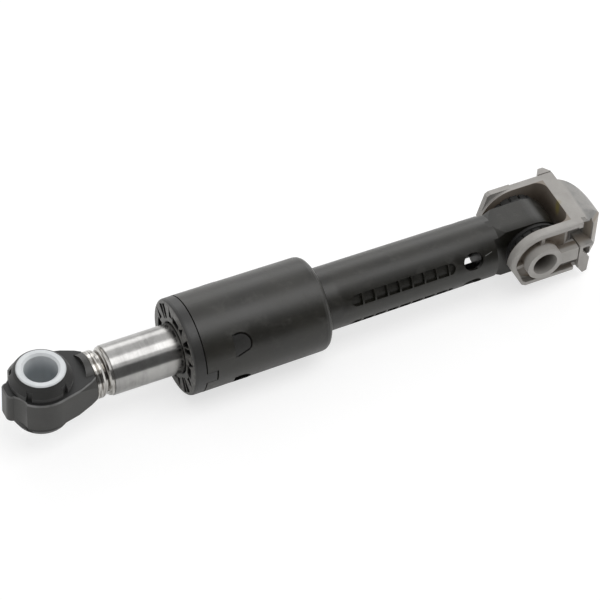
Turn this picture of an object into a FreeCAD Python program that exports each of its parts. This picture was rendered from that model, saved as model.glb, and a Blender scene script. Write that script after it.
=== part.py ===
import FreeCAD, Part
import math
import os

os.makedirs("parts", exist_ok=True)

# Friction damper for a washing machine tub, in millimetres.
# The origin is the centre of the rod eye. +X runs along the rod to the bracket, +Z is the eye's bore axis.

# Rod eye and its bushes
eye_sleeve_bore = 7.0
eye_sleeve_wall = 3.2
eye_sleeve_half_length = 14.45
eye_sleeve_lead = 0.9
eye_sleeve_edge = 0.6
eye_rubber_wall = 1.8
eye_rubber_below_sleeve = 0.4
eye_collar_radius = 12.9
eye_collar_height = 2.3
eye_cone_top_wall = 1.1
eye_cone_drop = 1.15
eye_collar_notches = 5
eye_notch_width = 2.7
eye_notch_depth = 1.3
eye_notch_turn = -63.0
eye_ring_wall = 2.5
eye_half_height = 7.5
eye_edge = 0.7
eye_nose_reach = 16.0
eye_nose_half_width = 4.4
eye_nose_flat = 1.8
eye_nose_turn = 45.0
eye_neck_radius = 10.0
eye_neck_step_radius = 18.0
eye_neck_end = 20.5
eye_girth_radius = 16.6
eye_girth_straight = 4.0
eye_girth_step = 11.6
eye_girth_end = 10.4
eye_hollow_depth = 0.74
spigot_end_edge = 1.0

# Steel rod, a thin tube rolled into a groove of the eye's spigot
rod_radius = 10.6
rod_wall = 1.0
rod_collar_radius = 10.05
rod_collar_edge = 0.3
rod_collar_end = 23.7
rod_groove_radius = 8.3
rod_groove_x = 25.3
rod_groove_floor = 0.35
rod_groove_bulge = 0.4
rod_shoulder_x = 27.0
rod_shoulder_radius = 10.1
rod_full_x = 28.1
rod_step = 0.22
rod_inner_end = 166.0
rod_neck_radius = 9.9
spigot_tail = 18.0

# Guide ring on the rod's inner end
guide_length = 6.0
guide_flange = 1.2
guide_running = 0.1
guide_edge = 0.4
guide_bore = 6.0

# Friction housing and barrel tube, one moulding
seam_x = 64.1
housing_front_radius = 20.66
housing_wall = 2.26
housing_draft = 0.4
housing_rear_x = 121.3
housing_rear_round = 3.0
housing_rear_wall = 3.0
housing_ribs = 8
housing_rib_width = 1.8
housing_rib_start = 88.0
rod_guide_length = 5.7
rod_clearance = 0.25
tube_front_radius = 13.56
tube_rear_radius = 13.12
tube_root_round = 0.8
tube_bore = 11.25
tube_bore_end = 198.5
tube_end_x = 201.0

# Pocket rows, drain holes and windows
row_angle = 29.5
row_start_x = 133.0
row_end_x = 181.2
row_half_angle = 10.8
row_web = 0.75
row_pitch = 5.72
row_first_web = 138.2
row_webs = 8
pocket_depth = 1.5
drain_x = 189.8
drain_radius = 3.75
drain_extra = 1.4
drain_slot_angle = -110.5
drain_slot_width = 3.0
drain_slot_length = 5.0
window_start_x = 77.0
window_end_x = 84.5
window_angle = 31.0
window_half_height = 4.9
window_slant_turn = 35.0

# End cap
cap_front_x = 58.6
cap_seam_step = 0.06
cap_edge_round = 1.4
cap_plug_depth = 5.9
cap_plug_clearance = 0.1
cap_pocket_depth = 4.2
cap_rim_wall = 1.7
cap_hub_wall = 1.7
cap_tall_pocket = (1.9, 3.3)
cap_rib_thickness = 0.6
cap_rib_swing = 0.35
cap_rib_root = 0.3
cap_corner_pocket = ((6.65, 24.0), (1.4, 20.0), (1.7, 33.0))
cap_low_pocket_height = 3.4
cap_low_pocket_half_angle = 11.0
cap_bore_lead = 0.5
cap_bore_clearance = 0.35
cap_groove_depth = 0.5
cap_groove_width = 0.45
cap_arm_end = 86.0
cap_arm_thickness = 1.6
cap_arm_half_angle = 13.0
cap_catch_front_gap = 0.06
cap_catch_gap = 0.3
cap_key_length = 4.2
cap_key_half_angle = 7.5
cap_key_end_gap = 0.6
cap_key_side_gap = 0.5

# Friction unit and its end buffers
free_travel = 3.5
carrier_side_gap = 2.2
carrier_edge = 1.0
carrier_length = 34.4
lining_length = 12.0
lining_thickness = 2.4
lining_land = 3.0
lining_grip = 0.05
lining_gap = 0.8
buffer_thickness = 3.0
buffer_gap = 0.2
buffer_bore_clearance = 0.6

# Barrel eye and its bushes
pivot_x = 220.0
hub_radius = 13.0
hub_half_width = 7.2
hub_bore = 10.8
hub_blend = 4.0
hub_ramp_start = 203.2
hub_ramp_end = 206.6
bush_lip_radius = 12.3
bush_lip_width = 1.3
bush_collar_radius = 11.3
bush_end_gap = 0.5
bush_flutes = 16
bush_flute_depth = 0.9
bush_flute_half_width = 0.8
pivot_sleeve_bore = 7.03
pivot_sleeve_wall = 1.5
pivot_sleeve_stand = 0.1

# Fork bracket
fork_gap_half = 12.3
fork_arm_depth = 3.7
fork_half_height = 14.4
fork_web = 1.3
fork_rim = 2.5
fork_base_inner = 14.4
fork_base_thickness = 6.0
fork_corner_round = 5.0
fork_post_thickness = 3.6
boss_radius = 8.1
boss_reach = 19.4
pad_stand = 1.8
pad_top = 1.6
pad_low = -5.4
cross_bore = 5.6
trunnion_clearance = 0.05
trunnion_gap_half = 0.6
rib_thickness = 1.7
rib_angles = (90.0, 188.0)
rib_sunk = 0.4
rim_gap_length = 2.5
rim_gap_top = -12.0
ear_edge = 0.9
ear_cut_x = 7.2
ear_cut_top = -1.0
ear_corner_x = 11.3
ear_corner_z = 13.5
ear_corner_low = 1.5
ear_corner_cut = 1.5
foot_depth = 9.8
foot_end_height = 9.1
foot_bend = (6.2, 12.4)
foot_far = 10.5
foot_far_bulge = 4.7
foot_far_end = -3.0
lug_start = -9.5
lug_near = -14.0
lug_depth = 4.7
lug_end_height = 8.8
lug_bend = (2.0, 11.4)
core_wall = 1.6
core_back = -7.7
core_top = 11.2
core_low = -12.0
core_ridge = 3.6
core_ridge_back = -10.2
core_ridge_slope = 1.0
shelf_top = -0.6
shelf_thickness = 1.5
rim_end = 1.7
opening_back = 0.9
lower_step = 0.3
hook_width = 6.4
hook_step = 1.5
hook_reach = 4.0
hook_top = -4.4
hook_bend = -9.6
hook_tip = (0.4, 0.6)
hook_barb = (0.5, 3.0)
hook_low = -18.0
nib_height = 6.0
nib_depth = 3.1
nib_length = 6.4

# Fits between pieces
seat = 0.02
loose = 0.3

# How far cutting shapes run past what they cut
over = 1.0
far = 60.0

x_axis = FreeCAD.Vector(1, 0, 0)
y_axis = FreeCAD.Vector(0, 1, 0)
z_axis = FreeCAD.Vector(0, 0, 1)
origin = FreeCAD.Vector(0, 0, 0)


def vec(x, y, z):
    return FreeCAD.Vector(x, y, z)


def turned(profile):
    # revolves closed (x, radius) points about the damper axis
    points = [vec(x, r, 0) for x, r in profile]
    face = Part.Face(Part.makePolygon(points + [points[0]]))
    return face.revolve(origin, x_axis, 360)


def ring_x(outer, inner, start, end):
    solid = Part.makeCylinder(outer, end - start, vec(start, 0, 0), x_axis)
    return solid.cut(Part.makeCylinder(inner, end - start, vec(start, 0, 0), x_axis))


def round_y(radius, low, high, x=pivot_x, z=0.0):
    return Part.makeCylinder(radius, high - low, vec(x, low, z), y_axis)


def block(x0, x1, y0, y1, z0, z1):
    return Part.makeBox(x1 - x0, y1 - y0, z1 - z0, vec(x0, y0, z0))


def prism(points, along):
    # closed polygon of vectors, pushed along a vector
    return Part.Face(Part.makePolygon(points + [points[0]])).extrude(along)


def about_x(shape, degrees):
    copy = shape.copy()
    copy.rotate(origin, x_axis, degrees)
    return copy


def near_to(shape, angle):
    # moves a feature built on the -Y side round the damper axis, positive towards +Z
    return about_x(shape, -angle)


def both_sides(shape, normal):
    return shape.fuse(shape.mirror(origin, normal))


def save(shape, name):
    clean = shape.removeSplitter()
    clean.exportStep("parts/" + name + ".step")


# Sizes worked out from the driving ones
eye_sleeve_radius = eye_sleeve_bore + eye_sleeve_wall
eye_bore = eye_sleeve_radius + eye_rubber_wall
eye_ring_radius = eye_bore + eye_ring_wall
rod_bore = rod_radius - rod_wall
guide_radius = tube_bore - guide_running
rod_guide_bore = rod_radius + rod_clearance
housing_rear_radius = housing_front_radius - housing_draft
housing_bore = housing_front_radius - housing_wall
housing_floor_x = housing_rear_x - housing_rear_wall
tube_bore_start = housing_floor_x + rod_guide_length
cap_radius = housing_front_radius - cap_seam_step
cap_plug_radius = housing_bore - cap_plug_clearance
cap_plug_end = seam_x + cap_plug_depth
carrier_radius = housing_bore - carrier_side_gap
carrier_start_x = cap_plug_end + 2 * buffer_gap + buffer_thickness + free_travel
carrier_end_x = carrier_start_x + carrier_length
cap_bore = rod_radius + cap_bore_clearance
bush_half_width = fork_gap_half - bush_end_gap
trunnion_radius = pivot_sleeve_bore - trunnion_clearance
pivot_sleeve_radius = pivot_sleeve_bore + pivot_sleeve_wall
fork_half_width = fork_gap_half + fork_arm_depth
base_in = pivot_x + fork_base_inner
base_out = base_in + fork_base_thickness


def arc(start, through, end):
    return Part.Arc(start, through, end).toShape()


def line(start, end):
    return Part.LineSegment(start, end).toShape()


def eye_outline(inset, z):
    # plan view of the eye: a ring drawn out to a blunt nose and to the round neck
    ring = eye_ring_radius - inset
    neck = eye_neck_radius - inset
    lean = math.asin((ring - neck) / eye_neck_end)
    touch = vec(ring * math.sin(lean), ring * math.cos(lean), z)
    turn = math.radians(eye_nose_turn)
    side = vec(-ring * math.sin(turn), ring * math.cos(turn), z)
    tip_x = inset - eye_nose_reach
    flat = eye_nose_flat
    rnd = eye_nose_half_width - inset - flat
    bend = vec(tip_x + rnd * (1 - math.sqrt(0.5)), flat + rnd * math.sqrt(0.5), z)
    cheek = vec(tip_x + rnd, flat + rnd, z)
    across = side - cheek
    inward = vec(across.y, -across.x, 0).normalize()
    hollow = (cheek + side) * 0.5 + inward * eye_hollow_depth
    upper = [
        arc(vec(tip_x, flat, z), bend, cheek),
        arc(cheek, hollow, side),
        arc(side, vec(0, ring, z), touch),
        line(touch, vec(eye_neck_end, neck, z)),
    ]
    lower = [edge.mirror(origin, y_axis) for edge in upper]
    tip = line(vec(tip_x, -flat, z), vec(tip_x, flat, z))
    back = line(vec(eye_neck_end, neck, z), vec(eye_neck_end, -neck, z))
    return Part.Wire(Part.__sortEdges__([tip] + upper + [back] + lower))


def eye_body():
    high = eye_half_height
    levels = [(eye_edge, -high), (0, eye_edge - high), (0, high - eye_edge), (eye_edge, high)]
    plate = Part.makeLoft([eye_outline(inset, z) for inset, z in levels], True, True)
    # the neck stands above the plate behind a wall that is round the eye
    neck_start = eye_neck_end - eye_bore
    neck = Part.makeCylinder(eye_neck_radius, eye_bore, vec(neck_start, 0, 0), x_axis)
    neck = neck.cut(Part.makeCylinder(eye_neck_step_radius, far, vec(0, 0, -far / 2), z_axis))
    # corners run out into the round neck
    girth = turned([
        (-far, 0), (-far, eye_girth_radius), (eye_girth_straight, eye_girth_radius),
        (eye_neck_step_radius, eye_girth_step), (eye_neck_end, eye_girth_end), (eye_neck_end, 0),
    ])
    return plate.fuse(neck).common(girth)


def rod_profile():
    # outline of the rolled end: collar, groove, shoulder and a fine step up to the full rod
    g = rod_groove_x
    f = rod_groove_floor
    edge = rod_collar_edge
    mouth = (rod_collar_radius + rod_groove_radius) / 2 + rod_groove_bulge
    return [(eye_neck_end, rod_collar_radius - edge), (eye_neck_end + edge, rod_collar_radius),
            (rod_collar_end, rod_collar_radius), (g - 2 * f, mouth), (g - f, rod_groove_radius),
            (g + f, rod_groove_radius), (g + 2.4 * f, (rod_shoulder_radius + rod_groove_radius) / 2),
            (rod_shoulder_x, rod_shoulder_radius),
            (rod_full_x - rod_step, rod_radius - rod_step), (rod_full_x, rod_radius - 2 * rod_step),
            (rod_full_x + rod_step, rod_radius)]


def spigot():
    # solid tail inside the rod, which fills the rolled groove from within
    gap = rod_wall + seat
    inside = [(x, r - gap) for x, r in rod_profile()[2:] if r < rod_radius]
    tail = rod_bore - seat
    start = eye_neck_end - over
    end = rod_full_x + spigot_tail
    return turned([(start, 0), (start, rod_collar_radius - gap)] + inside
                  + [(rod_full_x + rod_wall, tail), (end - spigot_end_edge, tail),
                     (end, tail - spigot_end_edge), (end, 0)])


def rod_eye():
    body = eye_body().fuse(spigot())
    hole = Part.makeCylinder(eye_bore, far, vec(0, 0, -far / 2), z_axis)
    return body.cut(hole)


def rod_eye_rubber():
    # bush that swells into a sloping collar on both sides of the eye
    inner = eye_sleeve_radius + seat
    face_z = eye_half_height + seat
    shoulder_z = face_z + eye_collar_height
    top_z = eye_sleeve_half_length - eye_rubber_below_sleeve
    half = [(inner, 0), (eye_bore - seat, 0), (eye_bore - seat, face_z), (eye_collar_radius, face_z),
            (eye_collar_radius, shoulder_z), (inner + eye_cone_top_wall, top_z - eye_cone_drop),
            (inner, top_z)]
    points = [vec(r, 0, z) for r, z in half]
    top = Part.Face(Part.makePolygon(points + [points[0]])).revolve(origin, z_axis, 360)
    notch = block(eye_collar_radius - eye_notch_depth, eye_collar_radius + over, -eye_notch_width / 2,
                  eye_notch_width / 2, face_z - seat, shoulder_z + eye_collar_height)
    for i in range(eye_collar_notches):
        cutter = notch.copy()
        cutter.rotate(origin, z_axis, eye_notch_turn + i * 360 / eye_collar_notches)
        top = top.cut(cutter)
    return both_sides(top, z_axis)


def rod_eye_sleeve():
    r = eye_sleeve_radius
    h = eye_sleeve_half_length
    b = eye_sleeve_bore
    lead = eye_sleeve_lead
    edge = eye_sleeve_edge
    half = [(b, -h + lead), (b + lead, -h), (r - edge, -h), (r, -h + edge), (r, h - edge), (r - edge, h),
            (b + lead, h), (b, h - lead)]
    points = [vec(x, 0, z) for x, z in half]
    return Part.Face(Part.makePolygon(points + [points[0]])).revolve(origin, z_axis, 360)


def rod_tube():
    # rolled profile outside, the same profile one wall deeper inside, and a necked inner end
    neck_x = rod_inner_end - guide_length
    rolled = rod_profile()
    end = [(neck_x - 0.5, rod_radius), (neck_x, rod_neck_radius), (rod_inner_end, rod_neck_radius)]
    inner = [(x, r - rod_wall) for x, r in rolled[2:] if r < rod_radius]
    inner = [(eye_neck_end, rod_collar_radius - rod_wall)] + inner + [(rod_full_x + rod_wall, rod_bore)]
    inner_end = [(x, r - rod_wall) for x, r in end]
    return turned(rolled + end + (inner + inner_end)[::-1])


def rod_end_guide():
    # plastic ring over the necked end of the rod, with a flange across the end
    start = rod_inner_end - guide_length + seat
    end = rod_inner_end + seat
    r = guide_radius
    neck = rod_neck_radius + seat
    return turned([(start, neck), (start, r), (end + guide_flange - guide_edge, r),
                   (end + guide_flange, r - guide_edge), (end + guide_flange, guide_bore), (end, guide_bore),
                   (end, neck)])


def hub_shape():
    # eye plate of the barrel: a disc across the axis, joined to the tube's end by a short ramp
    disc = round_y(hub_radius, -hub_half_width, hub_half_width)
    plate = block(tube_bore_end, pivot_x, -hub_half_width, hub_half_width, -hub_radius, hub_radius)
    corner = math.hypot(hub_radius, hub_half_width) + seat
    swell = turned([
        (tube_bore_end, 0), (tube_bore_end, tube_rear_radius), (hub_ramp_start, tube_rear_radius),
        (hub_ramp_end, corner), (pivot_x, corner), (pivot_x, 0),
    ])
    return disc.fuse(plate.common(swell))


def barrel_skin():
    # housing, rear wall and tube in one turned shape, closed at the tube's end
    rear = housing_rear_x
    rnd = housing_rear_round
    steps = [math.radians(angle) for angle in (0, 22.5, 45, 67.5, 90)]
    rim = [(rear - rnd + rnd * math.sin(a), housing_rear_radius - rnd + rnd * math.cos(a)) for a in steps]
    outer = [(seam_x, housing_front_radius)] + rim
    outer += [(rear, tube_front_radius + tube_root_round), (rear + tube_root_round, tube_front_radius)]
    outer += [(tube_end_x, tube_rear_radius)]
    inner = [(tube_end_x, 0), (tube_bore_end, 0), (tube_bore_end, tube_bore), (tube_bore_start, tube_bore),
             (tube_bore_start, rod_guide_bore), (housing_floor_x, rod_guide_bore),
             (housing_floor_x, housing_bore), (seam_x, housing_bore)]
    return turned(outer + inner)


def side_pocket():
    # plan cut beside the hub, with a round inner corner
    x0 = tube_end_x
    y0 = hub_half_width
    r = hub_blend
    short = r * (1 - math.sqrt(0.5))
    low = -far / 2
    x1 = pivot_x + far / 2
    y1 = far / 2
    wire = Part.Wire([
        arc(vec(x0, y0 + r, low), vec(x0 + short, y0 + short, low), vec(x0 + r, y0, low)),
        line(vec(x0 + r, y0, low), vec(x1, y0, low)),
        line(vec(x1, y0, low), vec(x1, y1, low)),
        line(vec(x1, y1, low), vec(x0, y1, low)),
        line(vec(x0, y1, low), vec(x0, y0 + r, low)),
    ])
    return Part.Face(wire).extrude(vec(0, 0, far))


def sector(x0, x1, r0, r1, half_angle):
    # piece of a ring on the -Y side
    ring = ring_x(r1, r0, x0, x1)
    reach = 1.5 * r1
    spread = reach * math.tan(math.radians(half_angle))
    wedge = prism([vec(x0, 0, 0), vec(x0, -reach, spread), vec(x0, -reach, -spread)], vec(x1 - x0, 0, 0))
    return ring.common(wedge)


def pocket_row():
    # one long slot with round ends, crossed by thin webs
    floor = tube_front_radius - pocket_depth
    half = tube_front_radius * math.radians(row_half_angle)
    top = -tube_front_radius / 2
    low = -2 * tube_front_radius
    slot = block(row_start_x + half, row_end_x - half, low, top, -half, half)
    for x in (row_start_x + half, row_end_x - half):
        slot = slot.fuse(Part.makeCylinder(half, top - low, vec(x, low, 0), y_axis))
    for i in range(row_webs):
        middle = row_first_web + i * row_pitch
        slot = slot.cut(block(middle - row_web / 2, middle + row_web / 2, low, top, -half, half))
    return slot.cut(Part.makeCylinder(floor, 2 * far, vec(row_start_x - far / 2, 0, 0), x_axis))


def drain_hole():
    e = drain_extra / 2
    low = -2 * tube_front_radius
    depth = -low - tube_bore / 2
    hole = block(drain_x - e, drain_x + e, low, low + depth, -drain_radius, drain_radius)
    for x in (drain_x - e, drain_x + e):
        hole = hole.fuse(Part.makeCylinder(drain_radius, depth, vec(x, low, 0), y_axis))
    return hole


def drain_slot():
    # small slot on the underside, near the tube's closed end
    end = tube_bore_end - seat
    half = drain_slot_width / 2
    slot = block(end - drain_slot_length, end, -2 * tube_front_radius, -tube_bore / 2, -half, half)
    return near_to(slot, drain_slot_angle)


def window_prism(front_gap, side_gap):
    # straight at the front, slanting below and round at the rear, cut on the -Y side
    h = window_half_height - side_gap
    x0 = window_start_x + front_gap
    low = -housing_front_radius - over
    round_x = window_end_x - window_half_height
    turn = math.radians(window_slant_turn)
    end = vec(round_x + h * math.cos(turn), low, -h * math.sin(turn))
    front = vec(x0, low, -h)
    top = vec(round_x, low, h)
    high = vec(x0, low, h)
    rear = arc(end, vec(round_x + h * math.cos(turn / 2), low, h * math.sin(turn / 2)), top)
    wire = Part.Wire([line(front, end), rear, line(top, high), line(high, front)])
    return Part.Face(wire).extrude(vec(0, housing_wall + window_half_height, 0))


def cap_key():
    end = seam_x + cap_key_length
    return sector(seam_x - over, end, housing_bore - over, cap_radius, cap_key_half_angle)


def barrel():
    body = barrel_skin()
    body = body.fuse(hub_shape())
    corner = side_pocket()
    body = body.cut(corner).cut(corner.mirror(origin, y_axis))
    body = body.cut(round_y(hub_bore, -far / 2, far / 2))
    cutters = [drain_slot()]
    for angle in (row_angle, -row_angle, 180 - row_angle, 180 + row_angle):
        cutters.append(near_to(pocket_row(), angle))
        cutters.append(near_to(drain_hole(), angle))
    for angle in (window_angle, -window_angle, 180 - window_angle, 180 + window_angle):
        cutters.append(near_to(window_prism(0, 0), angle))
    key_end = seam_x + cap_key_length + cap_key_end_gap
    key_slot = sector(seam_x - over, key_end, housing_bore - 2 * over, housing_front_radius + over,
                      cap_key_half_angle + cap_key_side_gap)
    cutters += [key_slot, about_x(key_slot, 180)]
    for cutter in cutters:
        body = body.cut(cutter)
    # inner ribs that centre the friction unit
    half = housing_rib_width / 2
    rib = block(housing_rib_start, housing_floor_x - free_travel, -housing_bore - housing_wall / 4,
                -carrier_radius - loose, -half, half)
    for i in range(housing_ribs):
        body = body.fuse(near_to(rib, (i + 0.5) * 360 / housing_ribs))
    return body


def wavy_rib(start, end):
    # thin rib that bends to and fro along the radius, drawn flat in Y and Z
    steps = 8
    half = cap_rib_thickness / 2
    left = []
    right = []
    for i in range(steps + 1):
        r = start + (end - start) * i / steps
        shift = cap_rib_swing * math.sin(2 * math.pi * i / steps)
        left.append(vec(cap_front_x, -r, shift - half))
        right.append(vec(cap_front_x, -r, shift + half))
    return prism(left + right[::-1], vec(cap_pocket_depth, 0, 0))


def cap_pockets():
    # one quarter of the front face: a tall pocket with a wavy rib, two small triangles, one low pocket
    depth = vec(cap_pocket_depth + over, 0, 0)
    x = cap_front_x - over
    inner = cap_bore + cap_hub_wall
    outer = cap_radius - cap_rim_wall
    low, high = cap_tall_pocket
    corners = [vec(x, -inner, -low), vec(x, -outer, -high), vec(x, -outer, high), vec(x, -inner, low)]
    tall = prism(corners, depth)
    tall = tall.cut(wavy_rib(inner - cap_rib_root, outer + cap_rib_root))
    shapes = [tall]
    for side in (-1, 1):
        points = []
        for above, degrees in cap_corner_pocket:
            turn = math.radians(degrees)
            points.append(vec(x, -(inner + above) * math.cos(turn), side * (inner + above) * math.sin(turn)))
        shapes.append(prism(points, depth))
    low_end = inner + cap_low_pocket_height
    low_pocket = sector(x, x + cap_pocket_depth + over, inner, low_end, cap_low_pocket_half_angle)
    shapes.append(near_to(low_pocket, 45))
    return shapes


def cap_arm():
    # springy arm behind the cap, with a catch that fills the housing's window
    top = cap_plug_radius
    arm = sector(cap_plug_end - over, cap_arm_end, top - cap_arm_thickness, top - cap_plug_clearance,
                 cap_arm_half_angle)
    flush = housing_front_radius - cap_seam_step
    shell = ring_x(flush, top - cap_arm_thickness / 2, window_start_x, window_end_x)
    return arm.fuse(window_prism(cap_catch_front_gap, cap_catch_gap).common(shell))


def end_cap():
    front = cap_front_x
    r = cap_radius
    rnd = cap_edge_round
    steps = [math.radians(angle) for angle in (0, 30, 60, 90)]
    rim = [(front + rnd - rnd * math.cos(a), r - rnd + rnd * math.sin(a)) for a in steps]
    groove_x = seam_x - cap_groove_width
    groove_r = r - cap_groove_depth
    plug = [(groove_x, r), (groove_x, groove_r), (seam_x - seat, groove_r), (seam_x - seat, cap_plug_radius),
            (cap_plug_end, cap_plug_radius), (cap_plug_end, cap_bore), (front + cap_bore_lead, cap_bore)]
    body = turned([(front, cap_bore + cap_bore_lead)] + rim + plug)
    for quarter in range(4):
        for shape in cap_pockets():
            body = body.cut(near_to(shape, 45 + 90 * quarter))
    # the joint with the housing shows as a fine groove, bridged by the keys
    for angle in (0, 180):
        body = body.fuse(near_to(cap_key(), angle))
    for angle in (window_angle, -window_angle, 180 - window_angle, 180 + window_angle):
        body = body.fuse(near_to(cap_arm(), angle))
    return body


def lining_carrier():
    # plastic sleeve with two grooves inside for the friction linings
    start = carrier_start_x
    end = carrier_end_x
    bore = rod_radius + loose
    groove = rod_radius + lining_grip + lining_thickness + seat
    first = start + lining_land
    second = end - lining_land - lining_length
    edge = carrier_edge
    return turned([(start, bore), (start, carrier_radius - edge), (start + edge, carrier_radius),
                   (end - edge, carrier_radius), (end, carrier_radius - edge), (end, bore),
                   (second + lining_length, bore), (second + lining_length, groove), (second, groove),
                   (second, bore), (first + lining_length, bore), (first + lining_length, groove),
                   (first, groove), (first, bore)])


def lining(start):
    # strip of friction lining bent round the rod, its ends meeting at a narrow gap
    inner = rod_radius + lining_grip
    outer = inner + lining_thickness
    ring = ring_x(outer, inner, start + seat, start + lining_length - seat)
    half = lining_gap / 2
    return ring.cut(block(start, start + lining_length, -half, half, -2 * outer, 0))


def buffer_ring(start, outer):
    return ring_x(outer, rod_radius + buffer_bore_clearance, start, start + buffer_thickness)


def fluted_collar():
    # rubber collar beside the hub on the -Y side: a plain lip, then flutes along the rim
    low = -bush_half_width
    high = -hub_half_width - seat
    lip = round_y(bush_lip_radius, high - bush_lip_width, high)
    collar = round_y(bush_collar_radius, low, high)
    reach = bush_collar_radius + over
    depth = bush_collar_radius - bush_flute_depth
    half = bush_flute_half_width
    start = low - over
    flute = prism([vec(depth, start, -half / 2), vec(reach, start, -half), vec(reach, start, half),
                   vec(depth, start, half / 2)], vec(0, high - start - bush_lip_width, 0))
    for i in range(bush_flutes):
        cutter = flute.copy()
        cutter.rotate(origin, y_axis, (i + 0.5) * 360 / bush_flutes)
        cutter.translate(vec(pivot_x, 0, 0))
        collar = collar.cut(cutter)
    return collar.fuse(lip)


def barrel_eye_rubber():
    core = round_y(hub_bore - seat, -hub_half_width - seat, hub_half_width + seat)
    collar = fluted_collar()
    body = core.fuse(collar).fuse(collar.mirror(origin, y_axis))
    return body.cut(round_y(pivot_sleeve_radius + seat, -far / 2, far / 2))


def barrel_eye_sleeve():
    half = bush_half_width + pivot_sleeve_stand
    return round_y(pivot_sleeve_radius, -half, half).cut(round_y(pivot_sleeve_bore, -far / 2, far / 2))


def ear_outline(inset, back, y):
    # side view of one fork arm: round above, cut off straight below the free end
    r = fork_half_height - inset
    x1 = base_out - back
    tip_z = ear_cut_top
    tip_x = pivot_x - math.sqrt(r * r - tip_z * tip_z)
    cut_x = pivot_x - ear_cut_x
    blend = fork_rim / 2
    slope = math.hypot(cut_x - tip_x, r + tip_z)
    before = vec(cut_x - (cut_x - tip_x) * blend / slope, y, -r + (r + tip_z) * blend / slope)
    after = vec(cut_x + blend, y, -r)
    tip = vec(tip_x, y, tip_z)
    top = vec(pivot_x, y, r)
    bend = vec(pivot_x - r * math.sqrt(0.5), y, r * math.sqrt(0.5))
    return Part.Wire([
        arc(top, bend, tip), line(tip, before), line(before, after), line(after, vec(x1, y, -r)),
        line(vec(x1, y, -r), vec(x1, y, r)), line(vec(x1, y, r), top),
    ])


def ear_slab(inset, back, low, high):
    return Part.Face(ear_outline(inset, back, low)).extrude(vec(0, high - low, 0))


def spoke(degrees):
    # flat rib from the boss out to the rim, on the -Y arm
    half = rib_thickness / 2
    reach = fork_half_height - fork_rim / 2
    rib = block(boss_radius - half, reach, rib_sunk - fork_half_width, -fork_gap_half, -half, half)
    rib.rotate(origin, y_axis, -degrees)
    rib.translate(vec(pivot_x, 0, 0))
    return rib


def fork_arm():
    # ribbed ear on the -Y side: web, rim, post, boss and hollow trunnion
    web = -fork_gap_half - fork_web
    outside = -fork_half_width
    e = ear_edge
    arm = ear_slab(0, 0, outside + e, -fork_gap_half)
    levels = [(e, 0), (0.3 * e, 0.3 * e), (0, e)]
    rounding = Part.makeLoft([ear_outline(inset, 0, outside + in_y) for inset, in_y in levels], True, True)
    arm = arm.fuse(rounding)
    hollow = ear_slab(fork_rim, fork_rim, outside - over, web)
    post_x = base_out - fork_post_thickness
    hollow = hollow.cut(block(post_x, base_out, -far, far, -far, far))
    arm = arm.cut(hollow)
    # the lower rim stops short of the base, which frees the hook
    gap = block(post_x - seat, post_x + rim_gap_length, outside - over, web, -far, rim_gap_top)
    arm = arm.cut(gap)
    return arm.fuse(round_y(trunnion_radius, web, -trunnion_gap_half))


def boss_and_pad():
    # boss round the cross bore, with ribs and a pad that runs from it to the post
    body = round_y(boss_radius, -boss_reach, -fork_gap_half)
    for angle in rib_angles:
        body = body.fuse(spoke(angle))
    post_x = base_out - fork_post_thickness
    pad = block(pivot_x + cross_bore, post_x + seat, -fork_half_width - pad_stand, -fork_gap_half,
                pad_low, pad_top)
    return body.fuse(pad)


def far_corner():
    # the far arm's free end is square above, where the near one is round
    z0 = ear_corner_low
    x0 = pivot_x - math.sqrt(fork_half_height ** 2 - z0 * z0)
    x1 = pivot_x - ear_corner_x
    top = fork_half_height - seat
    rim = fork_half_height - fork_rim
    y = fork_gap_half + fork_web
    half = rim * math.sqrt(0.5)
    outline = [vec(x0, y, z0), vec(x1, y, ear_corner_z), vec(x1 + ear_corner_cut, y, top),
               vec(pivot_x, y, top), vec(pivot_x, y, rim), vec(pivot_x - half, y, half),
               vec(pivot_x - rim, y, z0)]
    return prism(outline, vec(0, fork_half_width - y, 0))


def fork_base():
    # cross wall of the fork, with round inner corners
    side = fork_gap_half + fork_web / 2
    wall = block(base_in - fork_corner_round, base_out, -side, side, -fork_half_height, fork_half_height)
    gap = block(base_in - far, base_in, -fork_gap_half, fork_gap_half, -far, far)
    upright = [e for e in gap.Edges if abs(e.Length - 2 * far) < seat]
    inner_edges = [e for e in upright if e.Vertexes[0].X > base_in - over]
    gap = gap.makeFillet(fork_corner_round, inner_edges)
    return wall.cut(gap)


def foot_section(y, bend, depth, end_height):
    # side view of the foot at one place across: two arcs from the base to a straight end
    x0 = base_out - seat
    x1 = base_out + depth
    top = fork_half_height
    bend_x = base_out + bend[0]
    return Part.Wire([
        line(vec(x0, y, -top), vec(x0, y, top)),
        arc(vec(x0, y, top), vec(bend_x, y, bend[1]), vec(x1, y, end_height)),
        line(vec(x1, y, end_height), vec(x1, y, -end_height)),
        arc(vec(x1, y, -end_height), vec(bend_x, y, -bend[1]), vec(x0, y, -top)),
    ])


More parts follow.
